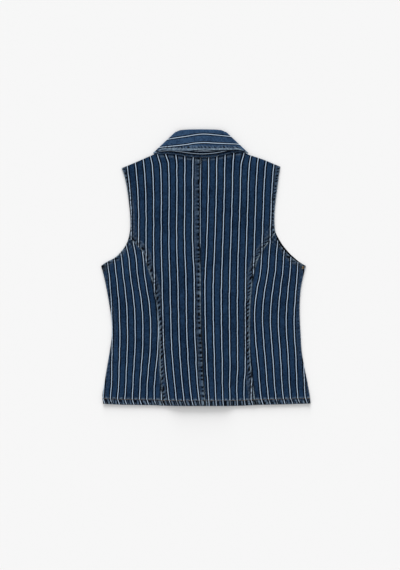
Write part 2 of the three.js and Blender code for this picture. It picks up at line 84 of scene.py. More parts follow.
# the collar's folded top, free edge and sewn seam, out from its middle
collarBack = {
    "foldOut": [0, 15, 29, 37, 43, 53.5],
    "foldY": [283.4, 283.3, 282.9, 282.3, 281.4, 277.2],
    "edgeOut": [0, 23, 45, 66, 80, 98],
    "edgeY": [238, 238.2, 238.8, 239.6, 240, 235],
}
collarFront = {
    "foldOut": [53.5, 50, 44, 36, 25, 13, 1.5],
    "foldY": [277.2, 261, 244, 226, 208, 195, 186],
    "edgeOut": [98, 94, 89, 82, 74, 65, 55],
    "edgeY": [235, 222, 203, 180, 158, 138, 120],
    "seamOut": [98, 92.5, 86, 74, 55, 30, 1.5],
    "seamY": [235, 223.5, 211, 192, 173, 160, 156],
}
collar = {"turnSteps": 14, "rollSteps": 8, "bow": 2.6, "stepsPerStation": 9, "cornerBack": 4,
          "standShort": 0.6}
band = {"halfWidth": 16, "lap": 6}
button = {"count": 6, "radius": 7.5, "height": 2.4, "top": 142, "bottom": -223, "sides": 56}
buttonHeights = [button["top"] + (button["bottom"] - button["top"]) * i / (button["count"] - 1)
                 for i in range(button["count"])]
# how far a panel's rise over what lies under it reaches past it, and over what length it falls
dome = {"front": 14, "back": 30, "collarFall": 22, "buttonFall": 30, "stack": 15, "stackFall": 34}
shoulderFrom = 186
frontNeckFrom = 90
# soft folds of the back: middle, length, width, turn in degrees and height
folds = [
    (-105, 118, 62, 13, 8, 1.2), (62, 140, 120, 22, 82, 1.5), (-62, 52, 150, 24, 96, 1.4),
    (150, -12, 56, 12, -38, 1.5), (-158, -14, 60, 12, 40, 1.5), (138, -62, 74, 14, 14, 1.3),
    (-146, -142, 84, 15, -12, 1.3), (44, -178, 140, 22, 92, 1.4), (-46, -196, 120, 20, 86, 1.4),
]


def through(at, xs, ys):  # smooth curve through a table, held at its ends
    xs, ys = np.asarray(xs, float), np.asarray(ys, float)
    at = np.clip(at, xs[0], xs[-1])
    i = np.clip(np.searchsorted(xs, at) - 1, 0, len(xs) - 2)
    slopes = np.empty(len(ys))
    slopes[0] = (ys[1] - ys[0]) / (xs[1] - xs[0])
    slopes[-1] = (ys[-1] - ys[-2]) / (xs[-1] - xs[-2])
    slopes[1:-1] = (ys[2:] - ys[:-2]) / (xs[2:] - xs[:-2])
    span = xs[i + 1] - xs[i]
    t = (at - xs[i]) / span
    t2, t3 = t * t, t * t * t
    return (ys[i] * (2 * t3 - 3 * t2 + 1) + ys[i + 1] * (3 * t2 - 2 * t3)
            + span * (slopes[i] * (t3 - 2 * t2 + t) + slopes[i + 1] * (t3 - t2)))


def smooth(value, low, high):
    t = np.clip((value - low) / (high - low), 0, 1)
    return t * t * (3 - 2 * t)


def bell(value, middle, width):
    return np.exp(-((value - middle) / width) ** 2)


def wobble(along, seed):  # slow uneven wave between about -1 and 1
    dice = np.random.default_rng(seed)
    phases = dice.uniform(0, 2 * math.pi, 4)
    return sum(np.sin(2 * math.pi * along * rate + phase) / 2.1
               for rate, phase in zip((0.61, 1.0, 1.73, 2.9), phases))


def outline(side, y):
    low = through(y, body["y"], body["sideLeft" if side < 0 else "sideRight"])
    return np.where(y < underarm, low, through(y, armhole[side]["y"], armhole[side]["x"]))


def princess(side, y):
    low = through(y, body["y"], body["seamLeft" if side < 0 else "seamRight"])
    return np.where(y < underarm, low, through(y, seamTop[side]["y"], seamTop[side]["x"]))


def centreSeam(y):
    return through(y, body["y"], body["centre"])


def backTopLine(x):
    a, b = backTop["neckLeft"], backTop["neckRight"]
    xs, ys = backTop["x"], backTop["y"]
    left = through(x, xs[:a + 1], ys[:a + 1])
    neck = through(x, xs[a:b + 1], ys[a:b + 1])
    right = through(x, xs[b:], ys[b:])
    return np.where(x < xs[a], left, np.where(x > xs[b], right, neck))


def frontTopLine(x):
    out = np.abs(x - neckCentre)
    outs = collarFront["seamOut"][:0:-1] + [neckHalfWidth]
    heights = collarFront["seamY"][:0:-1] + [backTop["y"][backTop["neckLeft"]]]
    return np.where(out <= neckHalfWidth, through(out, outs, heights), backTopLine(x))


def hemLine(x):
    return through(x, hemEdge["x"], hemEdge["y"])


def distanceToCollar(x, y):
    corners = [(0, 186), (55, 120), (98, 235), (53.5, 278), (0, 284)]
    px = np.abs(x - neckCentre)
    nearest = np.full(np.shape(px), 1e9)
    inside = np.zeros(np.shape(px), bool)
    for (ax, ay), (bx, by) in zip(corners, corners[1:] + corners[:1]):
        dx, dy = bx - ax, by - ay
        t = np.clip(((px - ax) * dx + (y - ay) * dy) / (dx * dx + dy * dy), 0, 1)
        if ax + bx > 0:
            nearest = np.minimum(nearest, np.hypot(px - ax - t * dx, y - ay - t * dy))
        if dy:
            inside ^= ((by > y) != (ay > y)) & (px < dx * (y - ay) / dy + ax)
    return np.where(inside, 0, nearest)


def neckFade(y):
    return 1 - smooth(y, 160, 214)


def baseLevel(x, y, spread):
    nearCollar = 1 - smooth(distanceToCollar(x, y), spread, spread + dome["collarFall"])
    overCollar = (cloth["leafWall"] + cloth["gap"]) * nearCollar
    away = np.abs(x - neckCentre) - band["halfWidth"] - spread
    overButtons = (button["height"] + cloth["gap"]) * neckFade(y) * (1 - smooth(away, 0, dome["buttonFall"]))
    return np.maximum(overCollar, overButtons)


def frontLevel(x, y):
    return baseLevel(x, y, dome["front"])


def hemLift(x, y):
    return hem["rise"] * (1 - smooth(y - hemLine(x), hem["depth"] + 2, 3 * hem["depth"]))


def foldHeight(x, y):
    height = 0
    for middleX, middleY, length, width, turn, high in folds:
        angle = math.radians(turn)
        along = (x - middleX) * math.cos(angle) + (y - middleY) * math.sin(angle)
        across = (y - middleY) * math.cos(angle) - (x - middleX) * math.sin(angle)
        height = height + high * np.exp(-(along / (length / 2)) ** 2 - (across / width) ** 2)
    return height


def backLevel(x, y):
    away = np.abs(x - neckCentre) - band["halfWidth"] - band["lap"] - dome["stack"]
    stack = 2 * cloth["bandWall"] + cloth["gap"] - cloth["wall"]
    bands = stack * neckFade(y) * (1 - smooth(away, 0, dome["stackFall"]))
    onFront = baseLevel(x, y, dome["back"]) + cloth["wall"] + bands + hemLift(x, y)
    return onFront + cloth["gap"] + foldHeight(x, y)


print("vest: materials")


def colour(*levels):
    return (*(c / 255 / 12.92 if c < 10 else ((c / 255 + 0.055) / 1.055) ** 2.4 for c in levels), 1)


def addNode(tree, kind, values=None, **settings):
    made = tree.nodes.new(kind)
    for name, value in settings.items():
        setattr(made, name, value)
    for key, value in (values or {}).items():
        if isinstance(value, bpy.types.NodeSocket):
            tree.links.new(value, made.inputs[key])
        else:
            made.inputs[key].default_value = value
    return made


def maths(tree, operation, *values, clamp=False):
    made = addNode(tree, "ShaderNodeMath", dict(enumerate(values)), operation=operation, use_clamp=clamp)
    return made.outputs[0]


def mixColour(tree, amount, first, second):
    return addNode(tree, "ShaderNodeMix", {0: amount, 6: first, 7: second}, data_type="RGBA").outputs[2]


def softStep(tree, value, low, high, start=0.0, end=1.0):
    values = {"Value": value, "From Min": low, "From Max": high, "To Min": start, "To Max": end}
    return addNode(tree, "ShaderNodeMapRange", values, interpolation_type="SMOOTHSTEP").outputs["Result"]


def nodeGroup(name, inputs, outputs):
    tree = bpy.data.node_groups.new(name, "ShaderNodeTree")
    for label, kind, value in inputs:
        socket = tree.interface.new_socket(name=label, in_out="INPUT", socket_type=kind)
        if value is not None:
            socket.default_value = value
    for label, kind in outputs:
        tree.interface.new_socket(name=label, in_out="OUTPUT", socket_type=kind)
    return tree, tree.nodes.new("NodeGroupInput").outputs, tree.nodes.new("NodeGroupOutput").inputs


def pinstripeGroup():
    tree, given, result = nodeGroup("pinstripe", [
        ("Count", "NodeSocketFloat", 0), ("Pitch", "NodeSocketFloat", 16.4), ("Uneven", "NodeSocketFloat", 0),
        ("Stripe Width", "NodeSocketFloat", 2), ("Flank Width", "NodeSocketFloat", 3)],
        [("Stripe", "NodeSocketFloat"), ("Flank", "NodeSocketFloat")])
    part = maths(tree, "FRACT", maths(tree, "ADD", given["Count"], 0.5))
    fromLine = maths(tree, "ABSOLUTE", maths(tree, "SUBTRACT", part, 0.5))
    away = maths(tree, "MULTIPLY_ADD", fromLine, given["Pitch"], given["Uneven"])

    def until(line, before, after):  # 1 up to a line, then 0
        low, high = maths(tree, "SUBTRACT", line, before), maths(tree, "ADD", line, after)
        return softStep(tree, away, low, high, 1.0, 0.0)

    half = maths(tree, "MULTIPLY", given["Stripe Width"], 0.5)
    stripe = until(half, 0.2, 0.2)
    flank = until(maths(tree, "ADD", half, given["Flank Width"]), 0.9, 0.4)
    tree.links.new(stripe, result["Stripe"])
    tree.links.new(flank, result["Flank"])
    return tree


def twillGroup():
    tree, given, result = nodeGroup("twill", [
        ("Vector", "NodeSocketVector", None), ("Thread", "NodeSocketFloat", 0.55)],
        [("Height", "NodeSocketFloat"), ("Shade", "NodeSocketFloat")])
    axes = addNode(tree, "ShaderNodeSeparateXYZ", {0: given["Vector"]}).outputs
    turn = maths(tree, "DIVIDE", 2 * math.pi, given["Thread"])
    diagonal = maths(tree, "MULTIPLY_ADD", axes[0], 0.5, maths(tree, "MULTIPLY", axes[1], 0.9))
    rib = maths(tree, "SINE", maths(tree, "MULTIPLY", diagonal, turn))
    warp = maths(tree, "SINE", maths(tree, "MULTIPLY", axes[0], turn))
    height = maths(tree, "MULTIPLY_ADD", rib, 0.35, maths(tree, "MULTIPLY_ADD", warp, 0.15, 0.5))
    slub = addNode(tree, "ShaderNodeMapping", {0: given["Vector"], "Scale": (1.6, 0.09, 1)})
    threads = addNode(tree, "ShaderNodeTexNoise", {"Vector": slub.outputs[0], "Scale": 1, "Detail": 3})
    weft = addNode(tree, "ShaderNodeMapping", {0: given["Vector"], "Scale": (0.12, 1.3, 1)})
    across = addNode(tree, "ShaderNodeTexNoise", {"Vector": weft.outputs[0], "Scale": 1, "Detail": 2})
    shade = maths(tree, "ADD", threads.outputs[0], maths(tree, "MULTIPLY", across.outputs[0], 0.6))
    shade = maths(tree, "MULTIPLY_ADD", maths(tree, "SUBTRACT", height, 0.5), 0.5, shade)
    tree.links.new(height, result["Height"])
    tree.links.new(shade, result["Shade"])
    return tree


def washGroup():
    tree, given, result = nodeGroup("wash", [("Vector", "NodeSocketVector", None)],
                                    [("Cloud", "NodeSocketFloat"), ("Grain", "NodeSocketFloat")])

    def noise(scale, detail):
        values = {"Vector": given["Vector"], "Scale": scale, "Detail": detail}
        return addNode(tree, "ShaderNodeTexNoise", values).outputs[0]

    broad, middle, fine = noise(14, 4), noise(75, 3), noise(330, 3)
    cloud = maths(tree, "MULTIPLY_ADD", broad, 0.55, maths(tree, "MULTIPLY", middle, 0.45))
    tree.links.new(cloud, result["Cloud"])
    tree.links.new(fine, result["Grain"])
    return tree


pinstripe, twill, wash = pinstripeGroup(), twillGroup(), washGroup()

denimLook = {
    "deep": colour(10, 28, 49),
    "indigo": colour(34, 59, 88),
    "flank": colour(0, 3, 10),
    "stripe": colour(180, 199, 221),
    # worn is the colour of worn edges and also of painted highlights; shadow is the colour of painted shade
    "worn": colour(150, 168, 180),
    "shadow": colour(1, 4, 10),
    "stripeWidth": 1.4,
    "flankWidth": 3.2,
    "pitch": 16.4,
}
collarLook = {**denimLook, "deep": colour(19, 40, 67), "indigo": colour(50, 78, 110), "flankWidth": 2.4,
              "pitch": 17.3}


def newMaterial(name, values):
    material = bpy.data.materials.new(name)
    material.use_nodes = True
    shader = material.node_tree.nodes["Principled BSDF"]
    for key, value in values.items():
        shader.inputs[key].default_value = value
    return material, material.node_tree, shader


def weaveOf(tree):  # the twill, along the piece as it was cut
    cut = addNode(tree, "ShaderNodeUVMap", uv_map="cut").outputs[0]
    inMillimetres = addNode(tree, "ShaderNodeVectorMath", {0: cut, 1: (1 / mm,) * 3}, operation="MULTIPLY")
    return addNode(tree, "ShaderNodeGroup", {"Vector": inMillimetres.outputs[0]}, node_tree=twill).outputs


def washOf(tree):
    where = addNode(tree, "ShaderNodeTexCoord").outputs["Object"]
    washing = addNode(tree, "ShaderNodeGroup", {"Vector": where}, node_tree=wash).outputs
    return washing["Cloud"], washing["Grain"]


def twillBump(tree, weave):
    values = {"Strength": 0.5, "Distance": 0.00025, "Height": weave["Height"]}
    return addNode(tree, "ShaderNodeBump", values).outputs[0]


def stripedDenim(name, look):
    surface = {"Roughness": 0.86, "Sheen Weight": 0.01, "Sheen Roughness": 0.5, "Specular IOR Level": 0.03}
    material, tree, shader = newMaterial(name, surface)
    given = {key: addNode(tree, "ShaderNodeAttribute", attribute_name=key).outputs["Fac"]
             for key in ("stripe", "fade", "crest")}
    weave = weaveOf(tree)
    cloud, grain = washOf(tree)
    tone = maths(tree, "MULTIPLY_ADD", weave["Shade"], 0.55, maths(tree, "MULTIPLY", cloud, 0.9))
    tone = maths(tree, "MULTIPLY_ADD", grain, 0.7, tone)
    tone = softStep(tree, tone, 0.98, 1.5)
    base = mixColour(tree, tone, look["deep"], look["indigo"])
    rubbed = softStep(tree, maths(tree, "MULTIPLY_ADD", grain, 0.9, maths(tree, "MULTIPLY", cloud, 0.3)),
                      0.35, 0.85, 0.25, 1.0)
    base = mixColour(tree, maths(tree, "MULTIPLY", given["fade"], rubbed, clamp=True), base, look["worn"])
    # above zero the mark paints a highlight in the worn colour, patchy like the wear
    light = maths(tree, "MULTIPLY", maths(tree, "MULTIPLY", given["crest"], rubbed), 0.5, clamp=True)
    base = mixColour(tree, light, base, look["worn"])
    uneven = maths(tree, "MULTIPLY", maths(tree, "SUBTRACT", grain, 0.5), 0.5)
    values = {"Count": given["stripe"], "Uneven": uneven, "Pitch": look["pitch"],
              "Stripe Width": look["stripeWidth"], "Flank Width": look["flankWidth"]}
    lines = addNode(tree, "ShaderNodeGroup", values, node_tree=pinstripe).outputs
    patchy = softStep(tree, cloud, 0.35, 0.6, 0.88, 1.0)
    base = mixColour(tree, maths(tree, "MULTIPLY", lines["Flank"], patchy), base, look["flank"])
    # below zero the mark paints shade in the shadow colour
    dark = maths(tree, "MULTIPLY", given["crest"], -1.0, clamp=True)
    base = mixColour(tree, dark, base, look["shadow"])
    # the stripes dim under the painted shade
    strength = softStep(tree, grain, 0.2, 0.62, 0.78, 1.0)
    strength = maths(tree, "MULTIPLY", strength, maths(tree, "MULTIPLY_ADD", dark, -0.7, 1.0))
    base = mixColour(tree, maths(tree, "MULTIPLY", lines["Stripe"], strength), base, look["stripe"])
    tree.links.new(base, shader.inputs["Base Color"])
    values = {"Strength": 0.35, "Distance": 0.0012, "Height": grain, "Normal": twillBump(tree, weave)}
    rough = addNode(tree, "ShaderNodeBump", values)
    tree.links.new(rough.outputs[0], shader.inputs["Normal"])
    return material


def reverseDenim():  # the paler wrong side, where the weft shows
    material, tree, shader = newMaterial("denimReverse", {"Roughness": 0.92})
    weave = weaveOf(tree)
    tone = softStep(tree, weave["Shade"], 0.45, 1.1)
    base = mixColour(tree, tone, colour(84, 104, 126), colour(136, 152, 168))
    tree.links.new(base, shader.inputs["Base Color"])
    tree.links.new(twillBump(tree, weave), shader.inputs["Normal"])
    return material


def threadMaterial(name, dark, pale):
    material, tree, shader = newMaterial(name, {"Roughness": 0.7})
    where = addNode(tree, "ShaderNodeTexCoord").outputs["Object"]
    grain = addNode(tree, "ShaderNodeTexNoise", {"Vector": where, "Scale": 240, "Detail": 2}).outputs[0]
    tree.links.new(mixColour(tree, softStep(tree, grain, 0.35, 0.65), dark, pale), shader.inputs["Base Color"])
    ply = addNode(tree, "ShaderNodeTexWave", {"Vector": where, "Scale": 900}, bands_direction="DIAGONAL")
    bump = addNode(tree, "ShaderNodeBump", {"Strength": 0.4, "Distance": 0.0001, "Height": ply.outputs[1]})
    tree.links.new(bump.outputs[0], shader.inputs["Normal"])
    return material


def buttonMetal():
    material, tree, shader = newMaterial("agedMetal", {"Metallic": 1.0})
    grain = washOf(tree)[1]
    base = mixColour(tree, softStep(tree, grain, 0.38, 0.62), colour(112, 98, 82), colour(186, 172, 150))
    tree.links.new(base, shader.inputs["Base Color"])
    tree.links.new(softStep(tree, grain, 0.3, 0.7, 0.5, 0.28), shader.inputs["Roughness"])
    return material


denimFace = stripedDenim("stripedDenim", denimLook)
collarFace = stripedDenim("collarDenim", collarLook)
denimReverse = reverseDenim()
seamThread = threadMaterial("seamThread", colour(38, 44, 52), colour(74, 78, 82))
hemThread = threadMaterial("hemThread", colour(96, 82, 66), colour(150, 132, 106))
tackThread = threadMaterial("tackThread", colour(158, 128, 88), colour(206, 180, 136))
metal = buttonMetal()


print("vest: cloth pieces")


def placeMesh(name, points, faces, materials, slots=None):
    mesh = bpy.data.meshes.new(name)
    mesh.from_pydata((np.asarray(points) * mm).tolist(), [], faces)
    for material in materials:
        mesh.materials.append(material)
    if slots is not None:
        mesh.polygons.foreach_set("material_index", np.asarray(slots, dtype=np.int32))
    mesh.polygons.foreach_set("use_smooth", np.ones(len(mesh.polygons), dtype=bool))
    mesh.update()
    obj = bpy.data.objects.new(name, mesh)
    bpy.context.scene.collection.objects.link(obj)
    return obj


def closedWall(name, upper, lower, materials, marks, upperSlot=0, lowerSlot=0, cut=None):
    rows, columns = upper.shape[:2]
    count = rows * columns
    points = np.concatenate([upper.reshape(-1, 3), lower.reshape(-1, 3)])
    index = np.arange(count).reshape(rows, columns)
    a, b = index[:-1, :-1].ravel(), index[:-1, 1:].ravel()
    c, d = index[1:, 1:].ravel(), index[1:, :-1].ravel()
    top = np.stack([a, b, c, d], axis=1)
    bottom = np.stack([a, d, c, b], axis=1) + count
    ring = np.concatenate([index[0, :-1], index[:-1, -1], index[-1, :0:-1], index[:0:-1, 0]])
    ahead = np.roll(ring, -1)
    rim = np.stack([ring + count, ahead + count, ahead, ring], axis=1)
    faces = np.concatenate([top, bottom, rim])
    p = points[faces]
    volume = np.einsum("ij,ij->i", np.cross(p[:, 0], p[:, 1]), p[:, 2]).sum()
    volume += np.einsum("ij,ij->i", np.cross(p[:, 0], p[:, 2]), p[:, 3]).sum()
    if volume < 0:
        faces = faces[:, ::-1]
    sides = [np.broadcast_to(slot, (rows - 1, columns - 1)).ravel() for slot in (upperSlot, lowerSlot)]
    obj = placeMesh(name, points, faces.tolist(), materials, np.concatenate([*sides, np.zeros(len(rim))]))
    mesh = obj.data
    for label, values in marks.items():
        both = np.concatenate([np.broadcast_to(v, (rows, columns)).ravel() for v in values])
        mesh.attributes.new(label, "FLOAT", "POINT").data.foreach_set("value", both.astype(np.float32))
    flat = np.tile((upper[..., :2] if cut is None else cut).reshape(-1, 2) * mm, (2, 1))
    corners = np.empty(len(mesh.loops), dtype=np.int32)
    mesh.loops.foreach_get("vertex_index", corners)
    mesh.uv_layers.new(name="cut").data.foreach_set("uv", flat[corners].ravel().astype(np.float32))
    return obj


edgeSteps = [0, 0.1, 0.3, 0.6, 1.1, 2, 3.1, 4.3, 5.6, 6.8, 8, 9.2, 10.4, 11.5, 12.2, 13, 14.5]
seamStitches = (5, 11)  # the steps where the two rows of stitching run
armholeStitch = 9
hemSteps = [0, 0.1, 0.3, 0.6, 1.1, 2, 3.2, 4.6, 6, 7.4, 8.8, 10, 11, 12, 12.8, 13.8]
hemStitch = 12
rowStep = 1.8


def slopeOf(line, y):
    return (line(y + 1) - line(y - 1)) / 2


def panelGrid(inner, outer, top, between, topFrom=None, topLine=None, tip=None):
    hemRows = body["y"][0] + np.array(hemSteps)
    endRows = np.array(edgeSteps[:5])[::-1]
    straightTo = top if topFrom is None else topFrom
    middle = np.arange(hemRows[-1] + rowStep, straightTo - (1.5 if topFrom is None else 0), rowStep)
    if topFrom is None:
        y = np.concatenate([hemRows, middle, straightTo - endRows])
        share = np.zeros(len(y))
    else:
        reach = float(np.max(topLine(np.array([tip[0], inner(tip[1])])))) - straightTo
        shares = np.arange(rowStep, reach - 1.5, rowStep) / reach
        shares = np.concatenate([shares, 1 - endRows / reach])
        y = np.concatenate([hemRows, middle, np.full(len(shares), straightTo)])
        share = np.concatenate([np.zeros(len(hemRows) + len(middle)), shares])
    y, share = y[:, None], share[:, None]
    side = np.sign(outer(y) - inner(y))
    width = np.abs(outer(y) - inner(y))
    squeeze = np.minimum(1, width / 62)
    steepIn = np.clip(np.sqrt(1 + slopeOf(inner, y) ** 2), 1, 2) * squeeze
    steepOut = np.clip(np.sqrt(1 + slopeOf(outer, y) ** 2), 1, 2) * squeeze
    steps = np.array(edgeSteps)
    fromInner = steps[None, :] * steepIn
    fromOuter = width - steps[::-1][None, :] * steepOut
    shareAcross = np.linspace(0, 1, between + 2)[1:-1][None, :]
    middleColumns = fromInner[:, -1:] + (fromOuter[:, :1] - fromInner[:, -1:]) * shareAcross
    place = np.concatenate([fromInner, middleColumns, fromOuter], axis=1)
    x = inner(y) + side * place
    above = y - body["y"][0] + 0 * x
    y = y + (hemLine(x) - body["y"][0]) * (1 - smooth(above, 14, 44))
    if topFrom is not None:
        across = place / width
        edgeY = straightTo + (tip[1] - straightTo) * share
        bulge = outer(edgeY) - (outer(np.array(float(straightTo))) * (1 - share) + tip[0] * share)
        topX = inner(tip[1]) * (1 - across) + tip[0] * across
        x = x + (topX - x) * share + bulge * across ** 2
        y = y + (topLine(topX) - y) * share
    topAway = (1 - share) * (tip[1] - straightTo) if topFrom is not None else top - y
    return {"x": x, "y": y, "fromInner": place / steepIn, "fromOuter": (width - place) / steepOut,
            "above": above, "topAway": topAway + 0 * x, "share": share + 0 * x}


def roundOff(away, radius):  # how far a rounded edge drops, by the distance from its end
    short = np.clip(radius - away, 0, radius)
    return radius - np.sqrt(np.maximum(radius ** 2 - short ** 2, 0))


def roundEdge(grid):
    away = np.minimum.reduce([grid["fromInner"], grid["fromOuter"], grid["above"], grid["topAway"]])
    return roundOff(away, 0.46 * cloth["wall"])


def turnedEdge(away, strip, size="width"):  # a turned strip's extra thickness
    return strip["rise"] * (1 - smooth(away, strip[size], strip[size] + strip["fall"]))


def tipOf(side):
    end = 0 if side < 0 else -1
    return backTop["x"][end], backTop["y"][end]


# the puckers of a felled seam: their spacing along it, where they lie across it, how they are rubbed, and how
# dark their painted shade and how light their painted highlight
seamLook = {"period": 9.7, "at": 3.9, "worn": 1.0, "wornAt": 0.4, "dark": 2.7, "light": 0.5, "reach": 2.3}


def felledSeam(away, run, slant, seed, width=seamBand["width"], look=seamLook):
    inBand = 1 - smooth(away, width - 0.6, width + 0.6)
    phase = (run + slant * away) / look["period"] + 0.3 * wobble(run / 60, seed)
    strength = 0.8 + 0.35 * wobble(run / 43, seed + 1)
    dash = smooth(np.cos(2 * math.pi * phase), -0.35, 0.45)
    window = np.exp(-((away - look["at"]) / look["reach"]) ** 4)
    window = window + 0.3 * bell(away, look["at"] + 4.9, 1.7)
    # painted shade in dashes between the puckers, with painted highlight on the rungs between them
    crest = (look["light"] - look["dark"] * dash) * window * strength * inBand
    edge = bell(away, look["wornAt"], 1.4) * (0.75 + 0.25 * wobble(run / 17, seed + 2) - 0.15 * dash)
    nearHem = 1 + 0.7 * (1 - smooth(run, hemLine(0 * run) + 16, hemLine(0 * run) + 130))
    fade = 0.09 * inBand * (0.8 + 0.5 * wobble(run / 21, seed + 4)) + look["worn"] * edge * nearHem
    fade = fade + 0.2 * bell(away, width, 1.0) * (0.6 + 0.4 * wobble(run / 13, seed + 3))
    grooves = bell(away, edgeSteps[seamStitches[0]], 0.8) + bell(away, width * 0.8, 0.8)
    return {"height": 0.3 * crest - 0.1 * grooves * inBand, "fade": fade, "crest": crest,
            "inBand": inBand}


def joined(first, second):
    return {key: first[key] + second[key] for key in first}


def hemRelief(x, above, count, seed):
    inHem = 1 - smooth(above, hem["depth"] - 0.4, hem["depth"] + 0.8)
    phase = 2 * count + 0.24 + 0.12 * wobble(x / 47, seed)
    strength = 0.85 + 0.3 * wobble(x / 37, seed + 1)
    twist = smooth(np.cos(2 * math.pi * phase), -0.3, 0.7)
    # the hem's roping: painted shade in its twists and painted highlight on its ridges
    ropes = (0.8 - 3.2 * twist) * np.exp(-((above - 5.6) / 5) ** 4) * strength * inHem
    line = bell(above, hem["depth"] + 1.2, 1.3) * (0.6 + 0.4 * np.cos(2 * math.pi * (2 * count + 0.1)))
    line = line * (0.75 + 0.25 * wobble(x / 15, seed + 2))
    foot = bell(above, 1.6, 1.2) * (0.6 + 0.4 * wobble(x / 9, seed + 3)) * (1 - 0.6 * twist)
    # painted shade lines below the hem's stitching and along its bottom edge
    dip = -0.7 * bell(above, hem["depth"] - 1.4, 1.1) * (0.7 + 0.3 * wobble(x / 19, seed + 4))
    dip = dip - 0.5 * bell(above, 0, 0.9)
    return {"height": 0.18 * ropes - 0.12 * line, "fade": 0.08 * inHem + 0.6 * line + 0.4 * foot,
            "crest": ropes + dip, "inBand": inHem}


stripeGuides = {
    "centreLeft": {
        "numbers": (1, 5, 9),
        "y": [-272, -240, -207, -174, -141, -76, -10, 23, 56, 138, 203, 236],
        "lines": [[-13.5, -17, -19, -20.5, -22.5, -23, -24, -26, -27, -27, -26.5, -25],
                  [-75.5, -79, -82.5, -85, -87, -88.5, -90, -91, -91.5, -91, -92.5, -95.5],
                  [-136, -140, -145, -148, -150.5, -151.5, -152, -152.5, -153, -154, -160.5, -165.5]],
    },
    "centreRight": {
        "numbers": (1, 6, 9),
        "y": [-272, -240, -207, -141, -76, -10, 23, 56, 138, 203, 236],
        "lines": [[6, 4.5, 2.5, 0, -1.5, -1, 1, 2.5, 5, 6, 6.5],
                  [79, 79, 81, 81.5, 81.5, 82, 83, 84, 86.5, 89, 91.5],
                  [122.5, 124, 127.5, 130.5, 130.5, 130, 131, 132, 135, 139, 144]],
    },
    "sideLeft": {
        "numbers": (1, 6),
        "y": [-272, -240, -207, -174, -141, -108, -76, -43, -10, 23, 64],
        "lines": [[-196, -193.5, -193, -192.5, -192, -192.5, -193.5, -196, -199, -203.5, -213],
                  [-121, -120, -117.5, -114.5, -113, -113.5, -116, -121, -126, -128.5, -136]],
    },
    "sideRight": {
        "numbers": (1, 6),
        "y": [-272, -240, -207, -174, -141, -108, -76, -43, -10, 23, 64],
        "lines": [[114, 110.5, 108.5, 105, 102, 100.5, 101.5, 106, 112.5, 114.5, 118.5],
                  [189.5, 187.5, 186, 184.5, 182.5, 181.5, 183, 185.5, 188, 190.5, 195]],
    },
}


def stripeCount(grid, guide, seed):
    x, y = grid["x"], grid["y"]
    lean = through(x, [-210, -30, 0, 70, 100, 210], [4.2, 4.2, 1.2, 1.2, 3.4, 4.2])
    x = x - lean * np.clip(1 - grid["above"] / hem["depth"], 0, 1)
    x = x + (5.5 * bell(x, -88, 22) - 4.5 * bell(x, 80, 15)) * smooth(y, 210, 236)
    x = x + 0.22 * wobble(y / 90 + x / 150, seed) + 0.12 * wobble(y / 23 + x / 40, seed + 1)
    at = [through(y, guide["y"], line) for line in guide["lines"]]
    numbers = guide["numbers"]
    if len(numbers) == 2:
        return numbers[0] + (numbers[1] - numbers[0]) * (x - at[0]) / (at[1] - at[0])
    count = 0
    for i, number in enumerate(numbers):
        j, k = [n for n in range(3) if n != i]
        count = count + number * (x - at[j]) * (x - at[k]) / ((at[i] - at[j]) * (at[i] - at[k]))
    return count


def crossPuckers(x, y, middle, reach, turn, period):  # short creases where a seam meets an armhole
    angle = math.radians(turn)
    along = (x - middle[0]) * math.cos(angle) + (y - middle[1]) * math.sin(angle)
    near = np.exp(-((x - middle[0]) ** 2 + (y - middle[1]) ** 2) / reach ** 2)
    return np.cos(2 * math.pi * along / period) * near


armLook = {
    -1: {**seamLook, "period": 9.2, "at": 3.4, "worn": 0.9, "wornAt": 0.6, "reach": 1.7},
    1: {**seamLook, "period": 8.4, "at": 3.6, "worn": 0.8, "wornAt": 0.4, "reach": 1.9},
}


